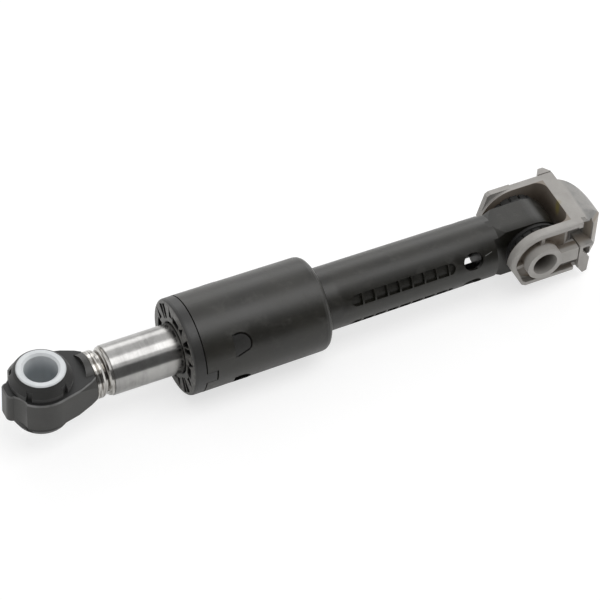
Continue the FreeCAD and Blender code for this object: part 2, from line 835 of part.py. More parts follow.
def bracket_foot():
    # moulded foot behind the base: a dome, and a lug that narrows to the near side
    x0 = base_out - seat
    x1 = base_out + foot_depth
    dome = Part.Face(foot_section(lug_start, foot_bend, foot_depth, foot_end_height)).extrude(vec(0, far, 0))
    plan = Part.Wire([
        arc(vec(x0, foot_far, -far), vec(base_out + foot_bend[0], foot_far - foot_far_bulge, -far),
            vec(x1, foot_far_end, -far)),
        line(vec(x1, foot_far_end, -far), vec(x1, lug_start, -far)),
        line(vec(x1, lug_start, -far), vec(x0, lug_start, -far)),
        line(vec(x0, lug_start, -far), vec(x0, foot_far, -far)),
    ])
    dome = dome.common(Part.Face(plan).extrude(vec(0, 0, 2 * far)))
    lug = Part.makeLoft([foot_section(lug_near, lug_bend, lug_depth, lug_end_height),
                         foot_section(lug_start, foot_bend, foot_depth, foot_end_height)], True, True)
    return dome.fuse(lug)


def core_plan(end_x, z):
    # plan of the hollow in the near corner, which keeps one wall thickness round the fork's inner corner
    outer = fork_corner_round + core_wall
    middle_x = base_in - fork_corner_round
    middle_y = fork_corner_round - fork_gap_half
    start_x = middle_x + outer
    web = -fork_gap_half - fork_web
    end = math.asin((middle_y - web) / outer)
    points = []
    for turn in (0, end / 2, end):
        points.append(vec(middle_x + outer * math.cos(turn), middle_y - outer * math.sin(turn), z))
    near = -fork_half_width - over
    corner = vec(start_x, core_back, z)
    edges = [line(corner, points[0])] if (corner - points[0]).Length > seat else []
    edges += [arc(*points), line(points[2], vec(points[2].x, near, z)),
              line(vec(points[2].x, near, z), vec(end_x, near, z))]
    return edges, corner


def corner_core():
    # hollow of the near corner: narrow below the shelf, and above it open as far as the ridge of the foot
    post_x = base_out - core_wall
    low, corner = core_plan(post_x, core_low)
    low_wire = low + [line(vec(post_x, -fork_half_width - over, core_low), vec(post_x, core_back, core_low)),
                      line(vec(post_x, core_back, core_low), corner)]
    narrow = Part.Face(Part.Wire(Part.__sortEdges__(low_wire))).extrude(vec(0, 0, core_top - core_low))
    wall_x = base_out + lug_depth
    ridge_x = base_out + core_ridge
    near = -fork_half_width - over
    z = shelf_top
    plan = [vec(post_x - seat, near, z), vec(wall_x, near, z), vec(wall_x, lug_near, z),
            vec(ridge_x, core_ridge_back, z), vec(ridge_x - core_ridge_slope, core_back, z),
            vec(post_x - seat, core_back, z)]
    wide = prism(plan, vec(0, 0, core_top - shelf_top))
    # the rim's end and the open top behind it
    rim_x = base_out - rim_end
    opening = [vec(rim_x, near, core_top), vec(wall_x, near, core_top), vec(wall_x, lug_near, core_top),
               vec(rim_x, lug_near + opening_back, core_top)]
    return narrow.fuse(wide).fuse(prism(opening, vec(0, 0, far)))


def lower_core():
    # hollow below the shelf, open downwards beside the hook
    wall_x = base_out + lug_depth
    ridge_x = base_out + core_ridge
    near = -fork_half_width - over
    z = shelf_top - shelf_thickness
    start_x = base_out + lower_step
    plan = [vec(start_x, near, z), vec(wall_x, near, z), vec(wall_x, lug_near, z),
            vec(ridge_x, core_ridge_back, z), vec(start_x, core_ridge_back, z)]
    return prism(plan, vec(0, 0, -far))


def shelf():
    # thin shelf between the two hollows, out to the arm's outer face
    wall_x = base_out + lug_depth
    return block(base_out - core_wall, wall_x, -fork_half_width, core_ridge_back,
                 shelf_top - shelf_thickness, shelf_top)


def snap_hook():
    # hook below the near side of the base, ramp outward and barb back
    x = base_out
    y = rib_sunk - fork_half_width
    tip = x + hook_reach
    tip_cut, tip_rise = hook_tip
    barb_back, barb_rise = hook_barb
    points = [vec(x - hook_step, y, core_low), vec(x - hook_step, y, pad_low), vec(x, y, hook_top),
              vec(tip, y, hook_bend), vec(tip - tip_cut, y, hook_low + tip_rise),
              vec(x + hook_step, y, hook_low), vec(x - barb_back, y, hook_low + barb_rise)]
    return prism(points, vec(0, hook_width, 0))


def corner_nib():
    # small locating nib on the far top corner of the base
    x = base_out - nib_length
    top = fork_half_height
    y = fork_half_width - seat
    slope = nib_length / 4
    low = top - nib_height
    out = y + nib_depth
    plan = [vec(x, y, low), vec(x + slope, out, low), vec(x + 2.5 * slope, out, low), vec(base_out, y, low)]
    return prism(plan, vec(0, 0, nib_height))


def fork_bracket():
    arm = fork_arm()
    body = arm.fuse(arm.mirror(origin, y_axis)).fuse(far_corner()).fuse(fork_base())
    body = body.fuse(bracket_foot()).cut(corner_core()).cut(lower_core())
    fittings = boss_and_pad().fuse(snap_hook())
    body = body.fuse(shelf()).fuse(fittings).fuse(fittings.mirror(origin, y_axis)).fuse(corner_nib())
    return body.cut(round_y(cross_bore, -boss_reach - over, boss_reach + over))


save(rod_eye(), "rod_eye")
save(rod_eye_rubber(), "rod_eye_rubber")
save(rod_eye_sleeve(), "rod_eye_sleeve")
save(rod_tube(), "rod_tube")
save(rod_end_guide(), "rod_end_guide")
save(lining_carrier(), "lining_carrier")
save(lining(carrier_start_x + lining_land), "front_lining")
save(lining(carrier_end_x - lining_land - lining_length), "rear_lining")
save(buffer_ring(cap_plug_end + buffer_gap, carrier_radius + buffer_gap), "front_buffer")
save(buffer_ring(housing_floor_x - buffer_gap - buffer_thickness, housing_bore - loose), "rear_buffer")
save(barrel(), "barrel")
save(end_cap(), "end_cap")
save(barrel_eye_rubber(), "barrel_eye_rubber")
save(barrel_eye_sleeve(), "barrel_eye_sleeve")
save(fork_bracket(), "fork_bracket")
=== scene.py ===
import math

import bmesh
import bpy
from mathutils import Matrix, Vector

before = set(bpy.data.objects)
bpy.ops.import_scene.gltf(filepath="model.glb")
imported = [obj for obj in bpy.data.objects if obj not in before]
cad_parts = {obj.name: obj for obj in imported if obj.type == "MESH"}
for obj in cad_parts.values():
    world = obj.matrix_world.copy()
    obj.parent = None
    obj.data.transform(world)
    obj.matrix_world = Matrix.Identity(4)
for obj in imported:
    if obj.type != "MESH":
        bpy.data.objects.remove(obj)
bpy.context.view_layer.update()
print("frame loaded,", len(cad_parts), "nodes")


# Camera and light

view = {
    "target": (0.116916, 0.003264, 0.0),
    "azimuth": 28.923,  # degrees round the damper's foot, towards the rod eye
    "elevation": 47.589,
    "roll": 4.042,
    "distance": 1.4,
    "lens": 203.943,
    "sensorWidth": 36.0,
    "clip": (0.05, 20.0),
}

light = {
    "worldColor": (1.0, 1.0, 1.0),
    "worldStrength": 0.62,  # on matt surfaces; mirrors and the camera see plain white
    "middle": (0.117, 0.0, 0.0),
    "lamps": [
        # name, direction from the middle, distance, size along the damper, size across, watts
        ("softbox", (0.326, -0.190, 0.926), 1.0, 1.4, 0.54, 4.6),
        ("backStrip", (0.326, 0.818, 0.473), 1.0, 1.2, 0.44, 2.3),
    ],
}

stage = {
    "floorHeight": -0.0212,
    "floorReach": 3.0,
    "floorColor": (0.97, 0.97, 0.96),
    "floorSeen": (0.42, 0.42, 0.42),  # the camera sees this colour and the glow
    "floorGlow": 0.66,
    "floorBounce": 0.16,  # the object sees the floor's own colour and this glow
    "cardDistance": 0.88,
    "cardHeight": 0.92,
    "cardWidth": 1.6,
    "cardColor": (0.16, 0.16, 0.16),
}

white = (1.0, 1.0, 1.0, 1.0)


def placeCamera():
    azimuth = math.radians(view["azimuth"])
    elevation = math.radians(view["elevation"])
    flat = math.cos(elevation)
    back = Vector((-flat * math.sin(azimuth), -flat * math.cos(azimuth), math.sin(elevation)))
    target = Vector(view["target"])
    camera = bpy.data.objects.new("camera", bpy.data.cameras.new("camera"))
    bpy.context.scene.collection.objects.link(camera)
    turn = back.to_track_quat("Z", "Y").to_matrix()
    turn = turn @ Matrix.Rotation(math.radians(view["roll"]), 3, "Z")
    camera.matrix_world = Matrix.Translation(target + back * view["distance"]) @ turn.to_4x4()
    camera.data.lens = view["lens"]
    camera.data.sensor_width = view["sensorWidth"]
    camera.data.clip_start, camera.data.clip_end = view["clip"]
    bpy.context.scene.camera = camera


def placeLamps():
    # each lamp faces the middle, with its long side along the damper
    middle = Vector(light["middle"])
    for name, direction, distance, along, across, watts in light["lamps"]:
        lamp = bpy.data.lights.new(name, "AREA")
        lamp.shape = "RECTANGLE"
        lamp.size = along
        lamp.size_y = across
        lamp.energy = watts
        facing = Vector(direction).normalized()
        side = (Vector((1.0, 0.0, 0.0)) - facing * facing.x).normalized()
        turn = Matrix((side, facing.cross(side), facing)).transposed()
        holder = bpy.data.objects.new(name, lamp)
        bpy.context.scene.collection.objects.link(holder)
        holder.matrix_world = Matrix.Translation(middle + facing * distance) @ turn.to_4x4()


# Shader maths: a wire is one output of a node, and sums of wires add their own nodes

class Wire:
    def __init__(self, graph, socket):
        self.graph = graph
        self.socket = socket

    def maths(self, operation, first, second=0.0):
        return self.graph.add("ShaderNodeMath", {"operation": operation}, {0: first, 1: second})

    def __add__(self, other):
        return self.maths("ADD", self, other)

    def __radd__(self, other):
        return self.maths("ADD", other, self)

    def __sub__(self, other):
        return self.maths("SUBTRACT", self, other)

    def __rsub__(self, other):
        return self.maths("SUBTRACT", other, self)

    def __mul__(self, other):
        return self.maths("MULTIPLY", self, other)

    def __rmul__(self, other):
        return self.maths("MULTIPLY", other, self)

    def root(self):
        return self.maths("POWER", self, 0.5)

    def atMost(self, other):
        return self.maths("MINIMUM", self, other)

    def atLeast(self, other):
        return self.maths("MAXIMUM", self, other)

    def size(self):
        return self.maths("ABSOLUTE", self)

    def above(self, low, high):
        # 0 below low, 1 above high, smooth between
        return self.graph.add(
            "ShaderNodeMapRange", {"interpolation_type": "SMOOTHSTEP"},
            {"Value": self, "From Min": low, "From Max": high, "To Min": 0.0, "To Max": 1.0})

    def below(self, low, high):
        # 1 below low, 0 above high, smooth between
        return 1.0 - self.above(low, high)


class Graph:
    # a node tree with its output node, and one method that makes every other node
    def __init__(self, tree, output):
        self.tree = tree
        self.tree.nodes.clear()
        self.output = self.tree.nodes.new(output)

    def add(self, kind, settings, inputs, output=0):
        node = self.tree.nodes.new(kind)
        for name, value in settings.items():
            setattr(node, name, value)
        for socket, value in inputs.items():
            self.feed(node, socket, value)
        return Wire(self, node.outputs[output])

    def feed(self, node, socket, value):
        if isinstance(value, Wire):
            self.tree.links.new(value.socket, node.inputs[socket])
        else:
            node.inputs[socket].default_value = value

    def show(self, shader):
        self.feed(self.output, "Surface", shader)

    def mixed(self, share, first, second):
        # shows the first shader where share is 0 and the second where it is 1
        self.show(self.add("ShaderNodeMixShader", {}, {0: share, 1: first, 2: second}))


class Finish(Graph):
    # a material with one Principled shader
    def __init__(self, name, constants):
        self.made = bpy.data.materials.new(name)
        self.made.use_nodes = True
        super().__init__(self.made.node_tree, "ShaderNodeOutputMaterial")
        self.shader = self.principled(constants)
        self.show(self.shader)
        self.places = self.add("ShaderNodeTexCoord", {}, {}, "Object")

    def principled(self, constants):
        return self.add("ShaderNodeBsdfPrincipled", {}, constants)

    def drive(self, socket, value):
        self.feed(self.shader.socket.node, socket, value)

    def stretched(self, scale):
        return self.add("ShaderNodeMapping", {}, {"Vector": self.places, "Scale": scale})

    def noise(self, scale, detail, roughness, places=None):
        return self.add("ShaderNodeTexNoise", {}, {
            "Vector": places or self.places, "Scale": scale,
            "Detail": detail, "Roughness": roughness}, "Fac")

    def grained(self, scale, detail, roughness):
        # noise with its own scale along each axis
        return self.noise(1.0, detail, roughness, self.stretched(scale))

    def axes(self):
        return [self.add("ShaderNodeSeparateXYZ", {}, {0: self.places}, name) for name in "XYZ"]

    def blend(self, share, first, second):
        return self.add(
            "ShaderNodeMix", {"data_type": "RGBA"},
            {"Factor": share, 6: tint(first), 7: tint(second)}, 2)

    def paintShade(self, mask, color):
        # painted shade: a matt dark colour with no shine of its own, over the finish where the mask is 1
        matt = self.principled({"Base Color": tint(color), "Roughness": 1.0, "Specular IOR Level": 0.0})
        self.mixed(mask, self.shader, matt)

    def bump(self, height, strength, depth):
        self.drive("Normal", self.add(
            "ShaderNodeBump", {}, {"Height": height, "Strength": strength, "Distance": depth}))


def tint(color):
    if isinstance(color, Wire):
        return color
    return (color[0], color[1], color[2], 1.0)


def away(*parts):
    # distance from the place where every part is 0
    total = parts[0] * parts[0]
    for part in parts[1:]:
        total = total + part * part
    return total.root()


# Finishes. A pair of lengths or noise values is where a smooth change starts and ends.

mouldLook = {
    "ior": 1.5,
    "scuffStreaks": (0.60, 0.78),
    "scuffClouds": (0.42, 0.62),
    "scuffPolish": 0.06,
    "toneClouds": (0.3, 0.7),
    "cloudShare": 0.7,
    "grainShare": 0.3,
    "cloudRelief": 0.5,
}


def mouldedPlastic(name, look):
    # satin moulded plastic: cloudy tone, fine grain and scuffs where it was handled
    mould = mouldLook
    finish = Finish(name, {"IOR": mould["ior"], "Specular IOR Level": look["gloss"], "Coat Weight": 0.0})
    cloud = finish.noise(look["cloudScale"], 4.0, 0.6)
    grain = finish.noise(look["grainScale"], 2.0, 0.5)
    along, across = look["streaks"]
    streak = finish.grained((along, across, across), 3.0, 0.6)
    scuff = streak.above(*mould["scuffStreaks"]) * cloud.above(*mould["scuffClouds"])
    tone = cloud.above(*mould["toneClouds"]) * mould["cloudShare"] + grain * mould["grainShare"]
    finish.color = finish.blend(tone, look["dark"], look["light"])
    finish.color = finish.blend(scuff * look["scuffShare"], finish.color, look["scuffColor"])
    finish.rough = look["rough"] + (cloud - 0.5) * look["roughSpread"] - scuff * mould["scuffPolish"]
    finish.relief = grain + cloud * mould["cloudRelief"]
    finish.cloud = cloud
    finish.look = look
    return finish


def settle(finish):
    # hands the gathered colour, roughness and relief to the shader
    finish.drive("Base Color", finish.color)
    finish.drive("Roughness", finish.rough)
    finish.bump(finish.relief, finish.look["bump"], finish.look["bumpDepth"])
    return finish


def stain(finish, mask, color, rough=None):
    finish.color = finish.blend(mask, finish.color, color)
    if rough is not None:
        finish.rough = finish.rough + mask * (rough - finish.look["rough"])


eyeLook = {
    "dark": (0.0200, 0.0195, 0.0180),
    "light": (0.0340, 0.0330, 0.0305),
    "scuffColor": (0.085, 0.084, 0.080),
    "scuffShare": 0.22, "rough": 0.42, "roughSpread": 0.14, "gloss": 0.5, "cloudScale": 90.0,
    "grainScale": 2400.0, "streaks": (90.0, 420.0), "bump": 0.18, "bumpDepth": 0.00012,
    # painted shade on the flat faces; the paler dark and light above stay on the sides as painted light
    # from below
    "plateShade": (0.0060, 0.0062, 0.0062),
    "plateRough": 0.5,
    "plateStart": (0.00735, 0.00748),
    "plateEnd": (0.0076, 0.0077),
    # painted highlight on the chamfered edges, in patches
    "edgeHighlight": (0.190, 0.190, 0.188),
    "edgeRough": 0.34,
    "edgeStart": (0.00665, 0.00695),
    "edgeClouds": (0.35, 0.65),
    "edgeShares": (0.25, 0.6),
}


def eyePlastic():
    # black eye: flat faces painted darker and sides paler, standing in for how the light falls on them,
    # and a patchy painted highlight on the chamfered edges
    look = eyeLook
    finish = mouldedPlastic("eyePlastic", look)
    height = finish.axes()[2].size()
    # painted shade on the flat faces, against sides kept paler as painted light
    plate = height.above(*look["plateStart"]) * height.below(*look["plateEnd"])
    stain(finish, plate, look["plateShade"], look["plateRough"])
    # painted highlight on the chamfers round the flat faces, in patches
    edge = height.above(*look["edgeStart"]) * height.below(*look["plateStart"])
    least, more = look["edgeShares"]
    patchyHighlight = least + finish.cloud.above(*look["edgeClouds"]) * more
    stain(finish, edge * patchyHighlight, look["edgeHighlight"], look["edgeRough"])
    return settle(finish)


windowLook = {
    "turns": (31.0, -31.0, 149.0, 211.0),  # degrees round the damper, from the near side upwards
    "frontX": 0.0770,
    "roundX": 0.0796,
    "halfHeight": 0.0049,
    "slantEnd": (0.08361, -0.00281),
    # width and share of the painted shade band round each snap window
    "shadeWidth": 0.00058,
    "darkWidth": 0.3,  # as a share of shadeWidth
    "roundMeetsSlant": (-0.0002, 0.0002),
    "pastSlant": (-0.0003, 0.0002),
    "pastFront": (0.0004, 0.0016),
    "skin": (0.0150, 0.0170),
    "shadeShare": 0.85,
}


def windowShade(x, y, z):
    # painted shade in the gap round each snap window, except along its straight front
    look = windowLook
    shade = (look["shadeWidth"] * look["darkWidth"], look["shadeWidth"])
    frontX = look["frontX"]
    endX, endZ = look["slantEnd"]
    run = Vector((endX - frontX, endZ + look["halfHeight"])).normalized()
    total = 0.0
    for degrees in look["turns"]:
        turn = math.radians(degrees)
        high = y * math.sin(turn) + z * math.cos(turn)
        facing = z * math.sin(turn) - y * math.cos(turn)
        fromRound = (away(x - look["roundX"], high) - look["halfHeight"]).size()
        overSlant = (high + look["halfHeight"]) * run.x - (x - frontX) * run.y
        onRound = fromRound.below(*shade) * overSlant.above(*look["roundMeetsSlant"])
        onSlant = overSlant.size().below(*shade) * x.below(*[endX + past for past in look["pastSlant"]])
        behind = x.above(*[frontX + past for past in look["pastFront"]])
        total = total + onRound.atLeast(onSlant) * behind * facing.above(*look["skin"])
    return total.atMost(1.0) * look["shadeShare"]


barrelLook = {
    "dark": (0.0063, 0.0058, 0.0041),
    "light": (0.0156, 0.0145, 0.0106),
    "scuffColor": (0.079, 0.076, 0.068),
    "scuffShare": 0.26, "rough": 0.36, "roughSpread": 0.16, "gloss": 0.52, "cloudScale": 62.0,
    "grainScale": 2200.0, "streaks": (26.0, 480.0), "bump": 0.22, "bumpDepth": 0.00014,
    "smudgeScale": 150.0,
    "smudgeEdge": (0.52, 0.70),
    "smudgeShare": 0.17,
    "rings": (900.0, 12.0, 12.0),
    "ringRough": 0.10,
    "smudgeRough": 0.10,
    "ringRelief": 0.4,
    # painted shade colour, laid over the pockets, the snap windows' gaps and the near top of the tube
    "paintedShade": (0.0045, 0.0042, 0.0032),
    "rowStart": (0.1250, 0.1262),
    "rowEnd": (0.1830, 0.1836),
    "pocketRadii": (0.0122, 0.0131),
    "pocketUnder": (-0.0040, 0.0),
    "pocketShares": (0.16, 0.76),  # everywhere, and more on the underside
    # painted shade that dims the highlight on the near top of the tube, stronger towards the hub
    "dimNear": (-0.0085, -0.0020),
    "dimTop": (0.0020, 0.0055),
    "dimSteps": (((0.1270, 0.1300), 0.32), ((0.1740, 0.2010), 0.26)),  # where along the tube, share
    "scratch": ((0.19510, -0.01106, 0.00720), (0.19888, -0.01046, 0.00805)),
    "scratchWidth": 0.00022,
    "scratchClear": 0.4,  # width of its even middle, as a share of scratchWidth
    "scratchTaper": 0.0004,
    "scratchSide": (-0.009, -0.008),
    "scratchColor": (0.30, 0.30, 0.29),
    "scratchDepth": 2.0,
}


def scratchMask(x, y, z):
    look = barrelLook
    start, end = [Vector(point) for point in look["scratch"]]
    middle = (start + end) / 2
    along = (end - start).normalized()
    across = along.cross(Vector((0.0, middle.y, middle.z)).normalized())
    places = [x - middle.x, y - middle.y, z - middle.z]
    reach, offset = [
        (places[0] * way.x + places[1] * way.y + places[2] * way.z).size() for way in (along, across)]
    half = (end - start).length / 2
    wide = look["scratchWidth"]
    long = reach.below(half - look["scratchTaper"], half) * y.below(*look["scratchSide"])
    return long * offset.below(wide * look["scratchClear"], wide)


def barrelPlastic():
    # black barrel: faint rings from turning the mould, painted shade in the pockets and round the snap
    # windows, painted shade dimming the near top of the tube, one scratch by the drain hole
    look = barrelLook
    finish = mouldedPlastic("barrelPlastic", look)
    x, y, z = finish.axes()
    rings = finish.grained(look["rings"], 3.0, 0.6)
    smudge = finish.noise(look["smudgeScale"], 4.0, 0.65).above(*look["smudgeEdge"])
    finish.rough = finish.rough + (rings - 0.5) * look["ringRough"] + smudge * look["smudgeRough"]
    stain(finish, smudge * look["smudgeShare"], look["scuffColor"])
    # painted shade in the pockets, much darker on the underside
    inPockets = x.above(*look["rowStart"]) * x.below(*look["rowEnd"])
    inPockets = inPockets * away(y, z).below(*look["pocketRadii"])
    least, more = look["pocketShares"]
    inPockets = inPockets * (least + z.below(*look["pocketUnder"]) * more)
    # painted shade over the highlight band on the near top of the tube, stronger towards the hub
    (tubeStart, tubeShare), (hubStart, hubShare) = look["dimSteps"]
    dimming = x.above(*tubeStart) * tubeShare + x.above(*hubStart) * hubShare
    dimming = y.below(*look["dimNear"]) * z.above(*look["dimTop"]) * dimming
    finish.paintShade(windowShade(x, y, z).atLeast(inPockets).atLeast(dimming), look["paintedShade"])
    scratch = scratchMask(x, y, z)
    stain(finish, scratch, look["scratchColor"])
    finish.relief = finish.relief + rings * look["ringRelief"] - scratch * look["scratchDepth"]
    return settle(finish)


capLook = {
    "dark": (0.0085, 0.0082, 0.0075),
    "light": (0.0180, 0.0175, 0.0165),
    "scuffColor": (0.09, 0.09, 0.09),
    "scuffShare": 0.28, "rough": 0.42, "roughSpread": 0.14, "gloss": 0.52, "cloudScale": 110.0,
    "grainScale": 2400.0, "streaks": (200.0, 300.0), "bump": 0.18, "bumpDepth": 0.00012,
    # painted shade in the pockets, on the lower catches, in the seam groove and round the snap windows
    "capShade": (0.0030, 0.0030, 0.0028),
    # painted highlight on the front face's rib edges, in patches
    "ribHighlight": (0.120, 0.116, 0.106),
    "highlightScale": 700.0,
    "highlightEdge": (0.40, 0.62),
    "highlightShares": (0.25, 0.60),
    "faceEnd": (0.0587, 0.0590),
    "pocketDepth": (0.0592, 0.0610),
    "pocketRadii": (0.0188, 0.0190),
    "catchFront": (0.0768, 0.0770),
    "catchRadii": (0.0186, 0.0187),
    "catchTop": (-0.0040, -0.0036),
    "jointFront": (0.0635, 0.06355),
    "jointRadii": (0.02035, 0.02050),
}


def capPlastic():
    # end cap: a patchy painted highlight on the front face, painted shade in the pockets, on the lower
    # catches, in the seam groove and round the snap windows
    look = capLook
    finish = mouldedPlastic("capPlastic", look)
    x, y, z = finish.axes()
    radius = away(y, z)
    # painted highlight on the front face, in patches
    least, more = look["highlightShares"]
    patchyHighlight = least + finish.noise(look["highlightScale"], 3.0, 0.6).above(*look["highlightEdge"]) * more
    stain(finish, x.below(*look["faceEnd"]) * patchyHighlight, look["ribHighlight"])
    # painted shade in the pockets, on the lower catches and in the seam groove
    inside = x.above(*look["pocketDepth"]) * radius.below(*look["pocketRadii"])
    catch = x.above(*look["catchFront"]) * radius.above(*look["catchRadii"])
    lowCatch = catch * z.below(*look["catchTop"])
    joint = x.above(*look["jointFront"]) * radius.below(*look["jointRadii"])
    shade = windowShade(x, y, z).atLeast(inside).atLeast(lowCatch).atLeast(joint)
    finish.paintShade(shade, look["capShade"])
    return settle(finish)


bracketLook = {
    "dark": (0.292, 0.279, 0.262),
    "light": (0.374, 0.360, 0.341),
    "scuffColor": (0.46, 0.45, 0.43),
    "scuffShare": 0.3, "rough": 0.46, "roughSpread": 0.14, "gloss": 0.45, "cloudScale": 110.0,
    "grainScale": 1800.0, "streaks": (220.0, 260.0), "bump": 0.2, "bumpDepth": 0.00014,
    "shadeRough": 0.55,
    "patchClouds": (0.3, 0.7),
    "patchShares": (0.62, 0.38),
    "pivot": 0.220,  # lengths below are from the pivot along the damper, and from the axis
    # painted shade inside the fork, brownish, darker towards the bottom and the base
    "forkBrown": (0.215, 0.165, 0.122),
    "paintedShade": (0.050, 0.041, 0.033),
    "earFaces": (0.01232, 0.01245),
    "baseFace": (0.01442, 0.01455),
    "topToBottom": (0.0050, 0.0146),
    "towardsBase": (-0.0100, 0.0110),
    "brownShares": (0.62, 0.33),
    "shadeShares": (0.30, 0.28),
    # painted shade in the ear pockets and down the bores
    "pocketShade": (0.104, 0.078, 0.052),
    "pocketFloor": (0.0133, 0.0135),
    "pocketMouth": (0.0147, 0.0163),
    "pocketRim": (0.0121, 0.0124),
    "pocketBoss": (0.0076, 0.0079),
    "pocketEnd": (0.0170, 0.0172),
    "boreShade": (0.056, 0.043, 0.031),
    "boreWall": (0.00565, 0.00580),
    "boreMouth": (0.0110, 0.0192),
    "boreShares": (0.5, 0.5),
    # cored corner (painted shade), foot and the yellow spot
    "coreShade": (0.270, 0.236, 0.200),
    "coreBack": (0.0186, 0.0189),
    "coreNear": (-0.0153, -0.0125),
    "coreFar": (-0.0098, -0.0085),
    "coreTop": (0.0095, 0.0112),
    "coreShelf": (-0.0022, -0.0018),
    "footGrey": (0.175, 0.176, 0.174),
    "footBack": (0.0206, 0.0225),
    "footLow": (-0.0040, 0.0010),
    "footClouds": (0.40, 0.62),
    "footShares": (0.25, 0.55),
    "yellow": (0.26, 0.215, 0.060),
    "yellowSpot": (0.0144, -0.0014, 0.0112),
    "yellowHeight": 0.42,  # squeezes heights, so that the spot is tall
    "yellowEdge": (0.0004, 0.0024),
    "yellowShare": 0.9,
}


def bracketPlastic():
    # pale grey fork: brownish painted shade inside the fork, in the ear pockets, in the bores and in
    # the cored corner, a greyer foot and one yellow spot
    look = bracketLook
    finish = mouldedPlastic("bracketPlastic", look)
    x, y, z = finish.axes()
    x = x - look["pivot"]
    side = y.size()
    radius = away(x, z)
    least, more = look["patchShares"]
    patchy = least + finish.cloud.above(*look["patchClouds"]) * more

    # painted shade inside the fork: brownish, deeper towards the bottom and the base, in patches
    inFork = side.below(*look["earFaces"]) * x.below(*look["baseFace"])
    depth = z.below(*look["topToBottom"])
    least, more = look["brownShares"]
    stain(finish, inFork * (least + depth * more), look["forkBrown"], look["shadeRough"])
    low, back = look["shadeShares"]
    paintedShade = depth * low + x.above(*look["towardsBase"]) * back
    stain(finish, inFork * paintedShade * patchy, look["paintedShade"])

    # painted shade in the ear pockets, in patches
    inPocket = side.above(*look["pocketFloor"]) * side.below(*look["pocketMouth"])
    inPocket = inPocket * away(x.atMost(0.0), z).below(*look["pocketRim"])
    inPocket = inPocket * radius.above(*look["pocketBoss"]) * x.below(*look["pocketEnd"])
    stain(finish, inPocket * patchy, look["pocketShade"], look["shadeRough"])
    # painted shade down the bores
    inBore = radius.below(*look["boreWall"]) * side.below(*look["boreMouth"])
    least, more = look["boreShares"]
    stain(finish, inBore * (least + patchy * more), look["boreShade"])

    # painted shade in the cored corner
    inCore = x.above(*look["coreBack"]) * y.above(*look["coreNear"]) * y.below(*look["coreFar"])
    inCore = inCore * z.below(*look["coreTop"]) * z.above(*look["coreShelf"])
    stain(finish, inCore * patchy, look["coreShade"])
    onFoot = x.above(*look["footBack"]) * z.above(*look["footLow"]) * (1.0 - inCore)
    least, more = look["footShares"]
    stain(finish, onFoot * (least + finish.cloud.above(*look["footClouds"]) * more), look["footGrey"])
    spotX, spotY, spotZ = look["yellowSpot"]
    fromSpot = away(x - spotX, y - spotY, (z - spotZ) * look["yellowHeight"])
    stain(finish, fromSpot.below(*look["yellowEdge"]) * look["yellowShare"], look["yellow"])
    return settle(finish)


bushLook = {
    "dark": (0.64, 0.665, 0.68),
    "light": (0.77, 0.79, 0.80),
    "scuffColor": (0.55, 0.55, 0.53),
    "scuffShare": 0.2, "rough": 0.35, "roughSpread": 0.1, "gloss": 0.5, "cloudScale": 150.0,
    "grainScale": 1600.0, "streaks": (200.0, 200.0), "bump": 0.1, "bumpDepth": 0.0001,
    # painted shade down the bore
    "inside": (0.34, 0.37, 0.39),
    "boreWall": (0.00705, 0.00735),
    "boreMouth": (0.004, 0.0142),
}


def whiteBush():
    # white plastic bush, with painted grey-blue shade down its bore
    look = bushLook
    finish = mouldedPlastic("whiteBush", look)
    x, y, z = finish.axes()
    # painted shade down the bore
    inBore = away(x, y).below(*look["boreWall"]) * z.size().below(*look["boreMouth"])
    stain(finish, inBore, look["inside"])
    return settle(finish)


nylonLook = {
    "dark": (0.55, 0.53, 0.46),
    "light": (0.66, 0.64, 0.57),
    "scuffColor": (0.42, 0.38, 0.28),
    "scuffShare": 0.3, "rough": 0.4, "roughSpread": 0.1, "gloss": 0.5, "cloudScale": 100.0,
    "grainScale": 1800.0, "streaks": (120.0, 300.0), "bump": 0.15, "bumpDepth": 0.0001,
}

sleeveLook = {
    "dark": (0.012, 0.012, 0.012),
    "light": (0.024, 0.024, 0.023),
    "scuffColor": (0.10, 0.10, 0.10),
    "scuffShare": 0.2, "rough": 0.4, "roughSpread": 0.1, "gloss": 0.5, "cloudScale": 140.0,
    "grainScale": 2200.0, "streaks": (160.0, 300.0), "bump": 0.15, "bumpDepth": 0.0001,
}

rodLook = {
    "dark": (0.222, 0.219, 0.214),
    "light": (0.405, 0.400, 0.392),
    "rough": 0.165,
    "wearRough": 0.12,
    "bandRough": 0.05,
    "ringRough": 0.05,
    "collarPolish": 0.04,
    "rings": (2600.0, 18.0, 18.0),
    "bands": (420.0, 30.0, 30.0),
    "drawnLines": (14.0, 260.0, 260.0),
    "wearScale": 60.0,
    "wearClouds": (0.3, 0.7),
    "toneShares": (0.30, 0.25, 0.25, 0.2),  # rings, bands, wear, drawn lines
    "toneEdge": (0.25, 0.75),
    "dimming": (0.115, 0.105, 0.090),  # grease and dust on the rolled collar
    "bright": (0.60, 0.59, 0.57),
    "blotches": (1500.0, 110.0, 110.0),
    "blotchEdge": (0.36, 0.66),
    "collarEnd": (0.0276, 0.0282),
    "nearCap": (0.0500, 0.0586),
    "nearCapShare": 0.35,
    "ringRelief": 0.6,
    "lineRelief": 0.3,
    "bump": 0.09,
    "bumpDepth": 0.00006,
}


